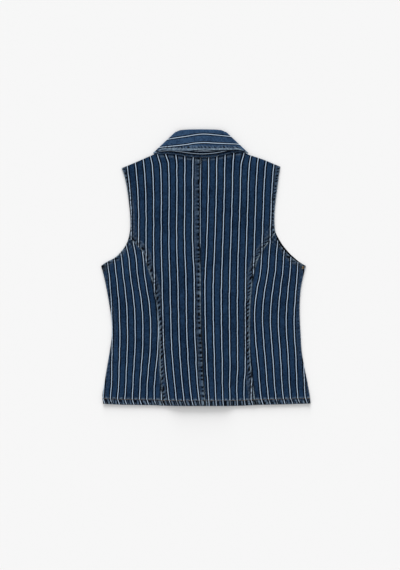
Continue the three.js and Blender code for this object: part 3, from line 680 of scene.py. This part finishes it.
def backPiece(name, side, part, seed):
    join = seamTop[side]["y"][-1]
    if part == "centre":
        inner = lambda y: centreSeam(y) + side * cloth["seamGap"] / 2
        toSeam = lambda y: princess(side, y) - side * cloth["seamGap"] / 2
        outer = lambda y: np.where(y < join, toSeam(y), outline(side, y))
        grid = panelGrid(inner, outer, None, 46, shoulderFrom, backTopLine, tipOf(side))
    else:
        inner = lambda y: princess(side, y) + side * cloth["seamGap"] / 2
        drawnIn = lambda y: 0 * y if side < 0 else through(y, armholeRoll["y"], armholeRoll["by"])
        outer = lambda y: outline(side, y) - drawnIn(y)
        grid = panelGrid(inner, outer, join - 4, 30)
    x, y, run = grid["x"], grid["y"], grid["y"]
    relief = {"height": 0 * x, "fade": 0 * x, "crest": 0 * x, "inBand": 0 * x}
    rise = 0 * x
    if part == "centre" and side < 0:
        relief = joined(relief, felledSeam(grid["fromInner"], run, 0, seed))
        rise = rise + turnedEdge(grid["fromInner"], seamBand)
    else:
        worn = bell(grid["fromInner"], 0, 1.1) * (0.8 + 0.2 * wobble(run / 17, seed + 5))
        relief["fade"] = relief["fade"] + (0.1 if part == "centre" else 0.36) * worn
        # a painted shade line just in from the seam
        shaded = part == "centre" or side > 0
        relief["crest"] = relief["crest"] - 0.5 * bell(grid["fromInner"], 1.6, 1.2) * shaded
    fromOuter = grid["fromOuter"]
    below = 1 - smooth(y, join - 6, join + 6) if part == "centre" else 0
    seamed = felledSeam(fromOuter, run, 0.8 * side, seed + 10, look={**seamLook, "period": 9.3})
    bound = felledSeam(fromOuter, run * 1.15, 0.2 * side, seed + 20, armholeBand["width"], armLook[side])
    onArm = smooth(y, underarm - 4, underarm + 4) if part == "side" else 1 - below
    for key in relief:
        alongEdge = onArm + 0.25 * (1 - onArm - below)
        relief[key] = relief[key] + below * seamed[key] + alongEdge * bound[key]
    rise = rise + below * turnedEdge(fromOuter, seamBand) + (1 - below) * turnedEdge(fromOuter, armholeBand)
    count = stripeCount(grid, stripeGuides[part + ("Left" if side < 0 else "Right")], seed)
    hemmed = hemRelief(x, grid["above"], count, seed + 30)
    above = smooth(grid["above"], hem["depth"] - 1, hem["depth"] + 3)
    for key in relief:
        relief[key] = relief[key] * (0.25 + 0.75 * above) + hemmed[key]
    rise = rise + turnedEdge(grid["above"], hem, "depth")
    crossed = np.minimum(grid["fromInner"] / 1.4, fromOuter + 40 * (part == "side"))
    relief["fade"] = relief["fade"] + 0.45 * bell(crossed, 1, 5.5) * bell(grid["above"], 6, 6.5)
    if part == "centre":
        fromNeck = (1 - grid["share"]) * (backTopLine(x) - shoulderFrom)
        inNeck = smooth(neckHalfWidth - np.abs(x - neckCentre), 0, 16)
        uneven = 0.75 + 0.25 * wobble(x / 11, seed + 6)
        # painted shade along the neck seam, under the collar; a worn strip just below it
        relief["crest"] = relief["crest"] - 0.8 * bell(fromNeck, 1.2, 2.6) * inNeck * uneven
        relief["fade"] = relief["fade"] + 0.3 * bell(fromNeck, 4.8, 1.4) * inNeck
    # painted shade in the underarm corner, greyed with the worn colour
    pit = bell(x, outline(side, underarm) - 4 * side, 9) * bell(y, underarm - 1, 8)
    relief["crest"] = relief["crest"] - 0.9 * pit * (part == "side")
    relief["fade"] = relief["fade"] + 0.3 * pit * (part == "side")
    corner = (princess(side, np.array(float(join))) - side * 3, join - 4)
    puckers = crossPuckers(x, y, corner, 17, 45 * side, 6.5) + crossPuckers(x, y, corner, 15, -40 * side, 7.5)
    puckers = puckers / 2
    creased = wobble(x / 55 + y / 90, seed + 40) * wobble(y / 70 - x / 60, seed + 41)
    height = relief["height"] + 0.3 * puckers + 0.22 * creased
    dip = roundEdge(grid)
    level = backLevel(x, y)
    upper = np.stack([x, y, level + cloth["wall"] + rise + height - dip], axis=-1)
    lower = np.stack([x, y, level + 0.5 * height + dip], axis=-1)
    # the puckers where seam meets armhole get painted highlight and shade, and a little wear
    fade = np.clip(relief["fade"] + 0.12 * np.abs(puckers), 0, 1.6)
    crest = np.clip(relief["crest"] + 1.1 * puckers, -1, 1)
    marks = {"stripe": (count, count), "fade": (fade, 0 * fade), "crest": (crest, 0 * crest)}
    obj = closedWall(name, upper, lower, [denimFace, denimReverse], marks, 0, 1)
    return obj, upper, grid


backs = {}
for number, (name, side, part) in enumerate([
        ("backCentreLeft", -1, "centre"), ("backCentreRight", 1, "centre"),
        ("backSideLeft", -1, "side"), ("backSideRight", 1, "side")]):
    backs[name] = backPiece(name, side, part, 100 * (number + 1))


def frontPiece(name, side, seed):
    inner = lambda y: neckCentre + side * (band["halfWidth"] + cloth["seamGap"]) + 0 * y
    peek = lambda y: 0 * y if side < 0 else through(y, frontPeek["y"], frontPeek["by"])
    outer = lambda y: outline(side, y) + peek(y)
    grid = panelGrid(inner, outer, None, 62, frontNeckFrom, frontTopLine, tipOf(side))
    x, y = grid["x"], grid["y"]
    bound = felledSeam(grid["fromOuter"], y, 0.2 * side, seed, armholeBand["width"], armLook[side])
    lean = 4 * np.clip(1 - grid["above"] / hem["depth"], 0, 1)
    count = (x - lean - neckCentre) / denimLook["pitch"] + 0.5
    hemmed = hemRelief(x, grid["above"], count, seed + 1)
    dip = roundEdge(grid)
    level = frontLevel(x, y)
    # the armhole binding and hem bring their painted shade and highlight
    fade = np.clip(bound["fade"] + hemmed["fade"], 0, 1)
    crest = np.clip(bound["crest"] + hemmed["crest"], -1, 1)
    stitchedIn = bell(grid["fromOuter"], edgeSteps[armholeStitch], 0.8)
    groove = 0.3 * (stitchedIn + bell(grid["above"], hemSteps[hemStitch], 0.8))
    groove = groove + 0.12 * (1 - crest) * (bound["inBand"] + hemmed["inBand"])
    rise = turnedEdge(grid["above"], hem, "depth")
    upper = np.stack([x, y, level + cloth["wall"] + rise - dip], axis=-1)
    lower = np.stack([x, y, level + np.minimum(groove, 0.5) + dip], axis=-1)
    turned = (grid["fromOuter"] < armholeBand["width"]) | (grid["above"] < hem["depth"])
    # the upper face's outer 7 mm, which shows past the back at the right armhole, is painted full shade without
    # stripes
    shaded = grid["fromOuter"] < 7
    plain = np.where(shaded, 0.5, count + 0.5)
    marks = {"stripe": (plain, count), "fade": (0 * fade, fade), "crest": (-1.0 * shaded, crest)}
    insideSlots = np.where(turned, 0, 1)[1:, 1:]
    obj = closedWall(name, upper, lower, [denimFace, denimReverse], marks, insideSlots, 0)
    return obj, lower, grid


fronts = {"frontLeft": frontPiece("frontLeft", -1, 700), "frontRight": frontPiece("frontRight", 1, 800)}


def frontBand(name, left, right, level, seed):
    across = np.concatenate([left + np.array(edgeSteps[:6]), np.linspace(left + 3, right - 3, 16),
                             right - np.array(edgeSteps[:6])[::-1]])[None, :]
    share = np.concatenate([np.array(hemSteps) / 400, np.linspace(0.037, 0.996, 250), [0.9985, 1]])[:, None]
    bottom, top = hemLine(across), frontTopLine(neckCentre + np.abs(across - neckCentre))
    x = across + 0 * share
    y = bottom + (top - bottom) * share
    toEdge = np.minimum(x - left, right - x)
    dip = roundOff(toEdge, 0.7)
    stitched = felledSeam(toEdge, y, 0, seed, 5, {**seamLook, "period": 7, "at": 2.8, "dark": 0.9})
    height = level(x, y)
    upper = np.stack([x, y, height + cloth["bandWall"] - dip], axis=-1)
    lower = np.stack([x, y, height + dip + 0.2 * bell(toEdge, 2, 0.7) * (share < 1)], axis=-1)
    count = (x - neckCentre) / denimLook["pitch"] + 0.5
    # the bands' stitching gets a softer painted shade and highlight
    fade, crest = np.clip(stitched["fade"], 0, 1), np.clip(0.7 * stitched["crest"], -1, 1)
    marks = {"stripe": (count, count), "fade": (fade, fade), "crest": (crest, crest)}
    obj = closedWall(name, upper, lower, [denimFace], marks)
    return obj, lower, {"x": x, "y": y}


def onHoleBand(x, y):
    return frontLevel(neckCentre + 0 * x, y) + cloth["bandWall"] + cloth["gap"] + hemLift(x, y)


bandLeft, bandRight = neckCentre - band["halfWidth"], neckCentre + band["halfWidth"]
holeBand = frontBand("buttonholeBand", bandLeft, bandRight, frontLevel, 900)
underBand = frontBand("buttonBand", bandLeft - band["lap"], bandRight, onHoleBand, 950)


print("vest: collar")

standRadius = cloth["wall"] / 2 + cloth["gap"] / 2
leafRadius = standRadius + cloth["wall"] / 2 + cloth["gap"] + cloth["leafWall"] / 2
collarReach = leafRadius + cloth["leafWall"] / 2


def collarHalf(side):
    steps = collar["stepsPerStation"]
    backAt = np.linspace(0, 5, 5 * steps + 1)
    frontAt = np.linspace(0, 6, 6 * steps + 1)
    turned = np.linspace(0, 180, collar["turnSteps"] + 1)[1:-1]
    keys = ("foldOut", "foldY", "edgeOut", "edgeY")
    line = {}
    for key in keys:
        back = through(backAt, range(6), collarBack[key])
        frontPart = through(frontAt, range(7), collarFront[key])
        line[key] = np.concatenate([back, np.full(len(turned), collarBack[key][-1]), frontPart])
    line["turn"] = np.concatenate([0 * backAt, turned, 180 + 0 * frontAt])
    line["inset"] = np.concatenate([smooth(backAt, 4.5, 5), 1 + 0 * turned, 1 - smooth(frontAt, 0, 1)])
    line["front"] = np.concatenate([0 * backAt, 0 * turned, smooth(frontAt, 0, 1)])
    line["under"] = np.concatenate([0 * backAt, 0 * turned, smooth(frontAt, 0.4, 2.6)])
    line["back"] = np.concatenate([1 - smooth(backAt, 4.2, 5), 0 * turned, 0 * frontAt])
    foldX, foldY = neckCentre + side * line["foldOut"], line["foldY"]
    edgeX, edgeY = neckCentre + side * line["edgeOut"], line["edgeY"]
    runX = edgeX[len(backAt) - 1] - foldX[len(backAt) - 1]
    runY = edgeY[len(backAt) - 1] - foldY[len(backAt) - 1]
    size = math.hypot(runX, runY)
    outX, outY = -runY / size * side, runX / size * side
    back = collar["cornerBack"] * line["inset"] * (1 + np.cos(np.radians(line["turn"]))) / 2
    foldX, foldY = foldX - runX / size * back, foldY - runY / size * back
    seamOut = through(frontAt, range(7), collarFront["seamOut"])
    seamY = through(frontAt, range(7), collarFront["seamY"])
    along = np.gradient(seamOut), np.gradient(seamY)
    size = np.hypot(*along)
    seamX = np.concatenate([edgeX[:len(backAt) + len(turned)], neckCentre + side
                            * (seamOut + along[1] / size * cloth["neckGap"])])
    seamAtBack = backTopLine(edgeX[:len(backAt)]) + cloth["neckGap"]
    seamY = np.concatenate([seamAtBack, edgeY[len(backAt):len(backAt) + len(turned)],
                            seamY - along[0] / size * cloth["neckGap"]])
    rows = {**line, "foldX": foldX, "foldY": foldY, "edgeX": edgeX, "seamX": seamX, "seamY": seamY,
            "outX": outX * line["inset"], "outY": outY * line["inset"]}
    return {key: np.asarray(value)[:, None] for key, value in rows.items()}


def collarWhole():
    left, right = collarHalf(-1), collarHalf(1)
    return {key: np.concatenate([left[key][::-1], right[key][1:]]) for key in left}


def collarPoint(line, to, share, radius, lift):
    turn = np.radians(line["turn"])
    inset = collarReach - radius * np.sin(turn)
    x = line["foldX"] + (line[to + "X"] - line["foldX"]) * share - line["outX"] * inset
    y = line["foldY"] + (line[to + "Y"] - line["foldY"]) * share - line["outY"] * inset
    z = collarReach + radius * np.cos(turn) + lift(x, y)
    return np.stack(np.broadcast_arrays(x, y, z), axis=-1)


collarLine = collarWhole()


def overFront(x, y):
    return collarLine["front"] * np.maximum(frontLevel(x, y) - cloth["leafWall"] - cloth["gap"], 0)


# where the first two stripes lie on the collar's back
collarStripes = {
    "firstX": [-100, -78, -60, -39, -18, -2, 20, 36, 50, 66, 92],
    "firstY": [258, 262.8, 265.9, 269, 272.5, 273.5, 271.8, 270.1, 268.6, 266.2, 261],
    "secondX": [-108, -93, -63, -39, -24, -3, 20, 50, 65, 78, 96],
    "secondY": [244, 246.4, 249.3, 252, 254.6, 256, 254.8, 253.6, 252.8, 250, 245],
}
collarEdgeLook = {**seamLook, "period": 7.6, "at": 8.4, "dark": 1.7, "wornAt": 4.4, "worn": 0.95}


def lengthAlong(x, y):
    steps = np.hypot(np.diff(x[:, 0]), np.diff(y[:, 0]))
    return np.concatenate([[0], np.cumsum(steps)])[:, None]


def collarLeaf():
    line = collarLine
    length = np.hypot(line["edgeX"] - line["foldX"], line["edgeY"] - line["foldY"])
    lift = overFront(line["foldX"], line["foldY"])
    radius = (leafRadius - standRadius + lift) / 2
    middle = leafRadius - radius
    inset = radius + cloth["wall"] / 2
    angles = np.radians(180 - np.linspace(0, 180, collar["rollSteps"] + 1)[:-1])[None, :]
    fromEdge = np.array(edgeSteps[:12])[::-1]
    out = np.abs(line["edgeX"] - neckCentre)
    surfaces = []
    run = lengthAlong(line["edgeX"], line["edgeY"])
    rim = 1 - fromEdge[None, :] / length
    flat = 0.08 + (rim[:, :1] - 0.08) * np.linspace(0, 1, 22)[None, :-1]
    flat = np.concatenate([flat, rim], axis=1)
    awayFromEdge = (1 - flat) * length
    seam = felledSeam(awayFromEdge, run, 0.3, 1300, 10.5, collarEdgeLook)
    waves = 0.5 * wobble(run / 80, 1310) * flat ** 2
    toFloor = (1 - np.cos(np.radians(line["turn"]))) / 2
    relief = 0.2 * seam["inBand"] + seam["height"]
    relief = relief * (1 - toFloor) + np.minimum(relief - 0.2, 0) * toFloor
    for face in (1, -1):
        away = radius + face * cloth["wall"] / 2
        rollShare = (inset - away * np.sin(angles)) / length
        roll = collarPoint(line, "edge", rollShare, middle + away * np.cos(angles), lambda x, y: 0)
        thick = cloth["leafWall"] / 2 + (relief if face > 0 else 0) - roundOff(awayFromEdge, 0.74)
        bow = (collar["bow"] + waves) * flat ** 2 * line["back"] * (1 - out / collarBack["edgeOut"][-1])
        sheet = collarPoint(line, "edge", flat, leafRadius + face * thick, lambda x, y: bow)
        surfaces.append(np.concatenate([roll, sheet], axis=1))
        shares = np.concatenate([np.broadcast_to(rollShare, (len(length), angles.shape[1])), flat], axis=1)
    upper, lower = surfaces
    first = through(upper[..., 0], collarStripes["firstX"], collarStripes["firstY"])
    second = through(upper[..., 0], collarStripes["secondX"], collarStripes["secondY"])
    onBack = 1 + (first - upper[..., 1]) / (first - second)
    onFront = 0.4 + shares * length / collarLook["pitch"]
    count = onBack + (onFront - onBack) * line["under"]
    rollMarks = np.zeros((len(length), angles.shape[1]))
    fade = np.concatenate([rollMarks, seam["fade"] + 0.3 * bell(awayFromEdge, 2, 3)], axis=1) + 0.03
    # painted shade along the leaf's free edge
    crest = np.concatenate([rollMarks, seam["crest"] - 0.35 * bell(awayFromEdge, 0, 1.2)], axis=1)
    marks = {"stripe": (count, count), "fade": (np.clip(fade, 0, 1),) * 2, "crest": (crest, 0 * crest)}
    cut = np.stack([shares * length, run + 0 * shares], axis=-1)
    obj = closedWall("collarLeaf", upper, lower, [collarFace], marks, cut=cut)
    return obj, upper


def collarStand():
    line = collarLine
    length = np.hypot(line["seamX"] - line["foldX"], line["seamY"] - line["foldY"])
    clearOfRoll = leafRadius - standRadius + cloth["wall"] / 2 + cloth["gap"]
    start = (clearOfRoll + collar["standShort"]) / length
    fromSeam = np.array([12, 10.5, 9, 7.5, 6, 4.8, 3.6, 2.6, 1.8, 1.1, 0.6, 0.3, 0.1, 0])[None, :]
    near = 1 - fromSeam / length
    shares = np.concatenate([start + (near[:, :1] - start) * np.linspace(0, 1, 12)[None, :-1], near], axis=1)
    away = (1 - shares) * length
    thick = cloth["wall"] / 2 - roundOff(away, 0.55)
    surfaces = [collarPoint(line, "seam", shares, standRadius + face * thick, overFront) for face in (1, -1)]
    run = lengthAlong(line["seamX"], line["seamY"]) + 0 * shares
    count = (away - 7.2) / collarLook["pitch"]
    fade = 0.3 * bell(away, 0.9, 1.1) * (0.7 + 0.3 * wobble(run / 15, 1400))
    speckle = np.cos(2 * math.pi * run / 7.3 + 2 * wobble(run / 50, 1401))
    # the stand is painted dark as the shade under the leaf, with painted highlights by its seam and its stripe,
    # and patches of deeper painted shade
    lit = 0.3 * bell(away, 0.6, 1.2) + 0.4 * bell(away, 7.2, 1.6)
    crest = lit - 0.62 - 0.38 * bell(away, 3.4, 1.6) * speckle
    marks = {"stripe": (count, count), "fade": (fade, fade), "crest": (crest, crest)}
    cut = np.stack([away, run], axis=-1)
    obj = closedWall("collarStand", *surfaces, [collarFace], marks, cut=cut)
    return obj, surfaces[0]


leaf, leafTop = collarLeaf()
stand, standTop = collarStand()


print("vest: buttons")


def buttonHead(name, y):
    r, h = button["radius"], button["height"]
    profile = [(0, 0.75), (2.2, 0.72), (2.6, 0.5), (3.1, 0.5), (3.5, 0.8), (5.0, 0.85), (5.3, 0.5), (5.9, 0.12),
               (6.5, 0), (7.0, 0.1), (7.35, 0.4), (r, 0.8), (7.4, 1.25), (7.0, 1.7), (6.2, 1.85), (4.4, 1.9),
               (4, 2.1), (4, h), (0, h)]
    turns = np.linspace(0, 2 * math.pi, button["sides"], endpoint=False)
    points = [(neckCentre, y, profile[0][1])]
    for radius, z in profile[1:-1]:
        points += [(neckCentre + radius * math.cos(t), y + radius * math.sin(t), z) for t in turns]
    points.append((neckCentre, y, profile[-1][1]))
    n, rings = button["sides"], len(profile) - 2
    faces = [(0, 1 + (i + 1) % n, 1 + i) for i in range(n)]
    for ring in range(rings - 1):
        a, b = 1 + ring * n, 1 + (ring + 1) * n
        faces += [(a + i, a + (i + 1) % n, b + (i + 1) % n, b + i) for i in range(n)]
    last = 1 + (rings - 1) * n
    faces += [(last + i, last + (i + 1) % n, len(points) - 1) for i in range(n)]
    return placeMesh(name, points, faces, [metal])


buttons = [buttonHead(f"buttonHead{i + 1}", y) for i, y in enumerate(buttonHeights)]


print("vest: stitching")


def stitchTree():
    tree = bpy.data.node_groups.new("stitchRun", "GeometryNodeTree")
    tree.interface.new_socket(name="Geometry", in_out="INPUT", socket_type="NodeSocketGeometry")
    for label, value in (("Pitch", 0.0031), ("Length", 0.0024), ("Width", 0.0006), ("Depth", 0.0004)):
        socket = tree.interface.new_socket(name=label, in_out="INPUT", socket_type="NodeSocketFloat")
        socket.default_value = value
    tree.interface.new_socket(name="Thread", in_out="INPUT", socket_type="NodeSocketMaterial")
    tree.interface.new_socket(name="Geometry", in_out="OUTPUT", socket_type="NodeSocketGeometry")
    given = tree.nodes.new("NodeGroupInput").outputs
    result = tree.nodes.new("NodeGroupOutput").inputs
    curve = addNode(tree, "GeometryNodeMeshToCurve", {0: given["Geometry"]})
    spaced = addNode(tree, "GeometryNodeResampleCurve", {"Curve": curve.outputs[0], "Length": given["Pitch"]},
                     mode="LENGTH")
    bead = addNode(tree, "GeometryNodeMeshUVSphere", {"Segments": 6, "Rings": 4, "Radius": 0.5})
    size = addNode(tree, "ShaderNodeCombineXYZ", {0: given["Depth"], 1: given["Width"], 2: given["Length"]})
    shaped = addNode(tree, "GeometryNodeTransform", {"Geometry": bead.outputs[0], "Scale": size.outputs[0]})
    tangent = addNode(tree, "GeometryNodeInputTangent")
    turn = addNode(tree, "FunctionNodeAlignEulerToVector", {"Vector": tangent.outputs[0]}, axis="Z",
                   pivot_axis="AUTO")
    values = {"Points": spaced.outputs[0], "Instance": shaped.outputs[0], "Rotation": turn.outputs[0]}
    placed = addNode(tree, "GeometryNodeInstanceOnPoints", values)
    real = addNode(tree, "GeometryNodeRealizeInstances", {0: placed.outputs[0]})
    values = {"Geometry": real.outputs[0], "Material": given["Thread"]}
    finished = addNode(tree, "GeometryNodeSetMaterial", values)
    tree.links.new(finished.outputs[0], result["Geometry"])
    return tree


stitchRun = stitchTree()


stitchObjects = []


def sew(name, carrier, lines, thread, lift=0.12, width=0.6, pitch=3.1):
    points, edges = [], []
    for line in lines:
        start = len(points)
        points += [(x * mm, y * mm, (z + lift) * mm) for x, y, z in np.asarray(line).tolist()]
        edges += [(start + i, start + i + 1) for i in range(len(line) - 1)]
    path = bpy.data.meshes.new(name + "Path")
    path.from_pydata(points, edges, [])
    obj = bpy.data.objects.new(name, path)
    bpy.context.scene.collection.objects.link(obj)
    nodes = obj.modifiers.new("stitches", "NODES")
    nodes.node_group = stitchRun
    sockets = {item.name: item.identifier for item in stitchRun.interface.items_tree
               if item.in_out == "INPUT"}
    for label, value in (("Pitch", pitch * mm), ("Length", 0.8 * pitch * mm), ("Width", width * mm),
                         ("Depth", 0.6 * width * mm), ("Thread", thread)):
        nodes[sockets[label]] = value
    made = bpy.data.meshes.new_from_object(obj.evaluated_get(bpy.context.evaluated_depsgraph_get()))
    obj.modifiers.remove(nodes)
    obj.data = made
    made.name = name
    made.polygons.foreach_set("use_smooth", np.ones(len(made.polygons), dtype=bool))
    stitchObjects.append((obj, carrier))


hemTopRow = len(hemSteps) - 2
for name, (obj, upper, grid) in backs.items():
    lines = []
    if name.startswith("backCentre"):
        if name.endswith("Left"):
            lines += [upper[hemTopRow:-4, k] for k in seamStitches]
        lines += [upper[hemTopRow:-4, -1 - k] for k in seamStitches]
    else:
        lines.append(upper[hemTopRow:-4, -1 - armholeStitch])
    sew("seamStitches" + name[4:], obj, lines, seamThread)
    sew("hemStitches" + name[4:], obj, [upper[hemStitch, 4:-4]], hemThread)
for name, (obj, lower, grid) in fronts.items():
    lines = [lower[hemTopRow:-4, -1 - armholeStitch], lower[hemStitch, 4:-4]]
    sew(name + "Stitches", obj, lines, hemThread, lift=0)
for obj, lower, grid in (holeBand, underBand):
    sew(obj.name + "Stitches", obj, [lower[4:-3, 5], lower[4:-3, -6]], hemThread, lift=0)

buttonhole = {"halfLength": 11.5, "halfWidth": 1.3, "steps": 41}
turn = np.linspace(0, 2 * math.pi, buttonhole["steps"])
holeX = neckCentre + buttonhole["halfLength"] * np.sign(np.cos(turn)) * np.abs(np.cos(turn)) ** 0.5
holeLines = []
for height in buttonHeights:
    holeY = height + buttonhole["halfWidth"] * np.sin(turn)
    holeLines.append(np.stack([holeX, holeY, frontLevel(holeX, holeY)], axis=-1))
sew("buttonholeStitches", holeBand[0], holeLines, hemThread, lift=0, width=0.8, pitch=0.9)

tack = {"x": 197.6, "y": -1.8, "lift": 2, "threads": 5, "long": 4.2}
tackLevel = float(backLevel(np.array(200.0), np.array(0.0))) + tack["lift"]
tackLines = []
for k in range(tack["threads"]):
    x, y = tack["x"] + 0.75 * k, tack["y"] - 0.25 * k
    tackLines.append([(x, y, tackLevel), (x + 1.2, y + tack["long"] - 0.05 * k, tackLevel)])
sew("underarmTack", backs["backSideRight"][0], tackLines, tackThread, lift=0, width=0.8, pitch=1.2)
sew("collarStitches", leaf, [leafTop[4:-4, -10]], seamThread)


print("vest: bodies")


def takePlace(obj, node):
    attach(obj, "root")
    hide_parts(node)


def declareSheet(obj, node):
    takePlace(obj, node)


def layOut(obj, node):
    declareSheet(obj, node)


for sewn, carrier in stitchObjects:
    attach(sewn, "root")
nodeOf = {"backCentreLeft": "back_centre_left", "backCentreRight": "back_centre_right",
          "backSideLeft": "back_side_left", "backSideRight": "back_side_right",
          "frontLeft": "front_left", "frontRight": "front_right"}
for name, (obj, surface, grid) in backs.items():
    layOut(obj, nodeOf[name])
for name, (obj, surface, grid) in fronts.items():
    layOut(obj, nodeOf[name])
layOut(holeBand[0], "buttonhole_band")
layOut(underBand[0], "button_band")


def layCollar(obj, node):  # hangs the piece on the root body and hides its CAD part
    declareSheet(obj, node)


layCollar(leaf, "collar_leaf")
layCollar(stand, "collar_stand")
for i, obj in enumerate(buttons):
    takePlace(obj, f"button_{i + 1}")


print("vest: floor, light and camera")

# what the camera sees at the floor, its middle, the lens and the sensor; the floor's reach and level
studio = {"frame": (820, 1168.5), "middle": (-11.7, -36.1), "lens": 100, "sensor": 36, "above": 8,
          "floorReach": 4000, "floorLevel": -0.2}

paleFloor = newMaterial("paleFloor", {"Base Color": (0.86, 0.86, 0.86, 1), "Roughness": 0.9,
                                      "Specular IOR Level": 0.1})[0]
floorCorners = [(x * studio["floorReach"], y * studio["floorReach"], studio["floorLevel"])
                for x, y in ((-1, -1), (1, -1), (1, 1), (-1, 1))]
floor = placeMesh("floor", floorCorners, [(0, 1, 2, 3)], [paleFloor])

world = bpy.data.worlds.new("studio")
bpy.context.scene.world = world
world.use_nodes = True
world.node_tree.nodes["Background"].inputs["Color"].default_value = (1, 1, 1, 1)
world.node_tree.nodes["Background"].inputs["Strength"].default_value = 0.72

sun = bpy.data.lights.new("softWindow", "SUN")
sun.energy = 3.15
sun.angle = math.radians(38)
sunObject = bpy.data.objects.new("softWindow", sun)
sunObject.rotation_euler = (math.radians(-69), 0, math.radians(4))
bpy.context.scene.collection.objects.link(sunObject)

camera = bpy.data.cameras.new("camera")
camera.lens = studio["lens"]
camera.sensor_width = studio["sensor"]
cameraObject = bpy.data.objects.new("camera", camera)
distance = studio["frame"][1] * studio["lens"] / studio["sensor"] * mm
cameraObject.location = (*(v * mm for v in studio["middle"]), distance + studio["above"] * mm)
bpy.context.scene.collection.objects.link(cameraObject)
bpy.context.scene.camera = cameraObject
bpy.context.scene.view_settings.view_transform = "Standard"

print("vest: finish")
